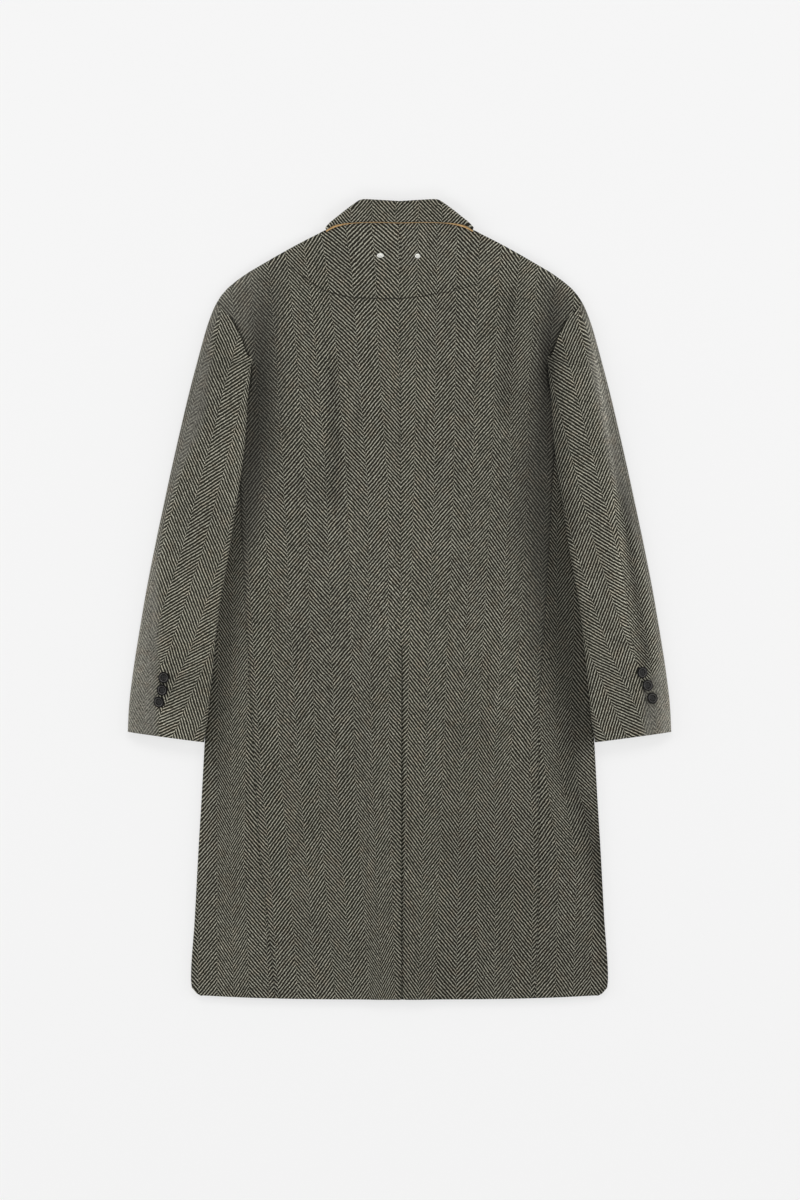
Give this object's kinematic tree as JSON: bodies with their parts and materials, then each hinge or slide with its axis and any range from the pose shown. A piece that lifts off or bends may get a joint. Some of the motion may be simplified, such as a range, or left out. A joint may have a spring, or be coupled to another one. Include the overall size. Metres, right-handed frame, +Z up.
{
  "type": "wool overcoat",
  "caption": "Long wool overcoat with a turned-down collar and a centre back vent, laid flat with its back up.",
  "frame": {"origin": "on the surface the coat lies on, under the middle of its outline", "axes": "+Z up out of the surface, +Y towards the collar, -X towards the wearer's left"},
  "size_m": [0.7868, 1.157, 0.02],
  "materials": {
    "herringbone_wool": "brushed herringbone wool, grey and taupe yarns with a fine nap",
    "undercollar_felt": "dense tan-orange felt",
    "dark_button": "near-black horn-like, satin",
    "silver_metal": "plain polished silver colour"
  },
  "bodies": {
    "root": {"back_left": "herringbone_wool", "back_right": "herringbone_wool", "front_left": "herringbone_wool", "front_right": "herringbone_wool", "top_sleeve_left": "herringbone_wool", "top_sleeve_right": "herringbone_wool", "under_sleeve_left": "herringbone_wool", "under_sleeve_right": "herringbone_wool", "collar": "herringbone_wool", "collar_end_left": "herringbone_wool", "collar_end_right": "herringbone_wool", "undercollar": "undercollar_felt", "cuff_button_left_1": "dark_button", "cuff_button_left_2": "dark_button", "cuff_button_left_3": "dark_button", "cuff_button_right_1": "dark_button", "cuff_button_right_2": "dark_button", "cuff_button_right_3": "dark_button", "front_button_1": "dark_button", "front_button_2": "dark_button", "front_button_3": "dark_button", "rivet_1": "silver_metal", "rivet_2": "silver_metal"}
  },
  "joints": []
}
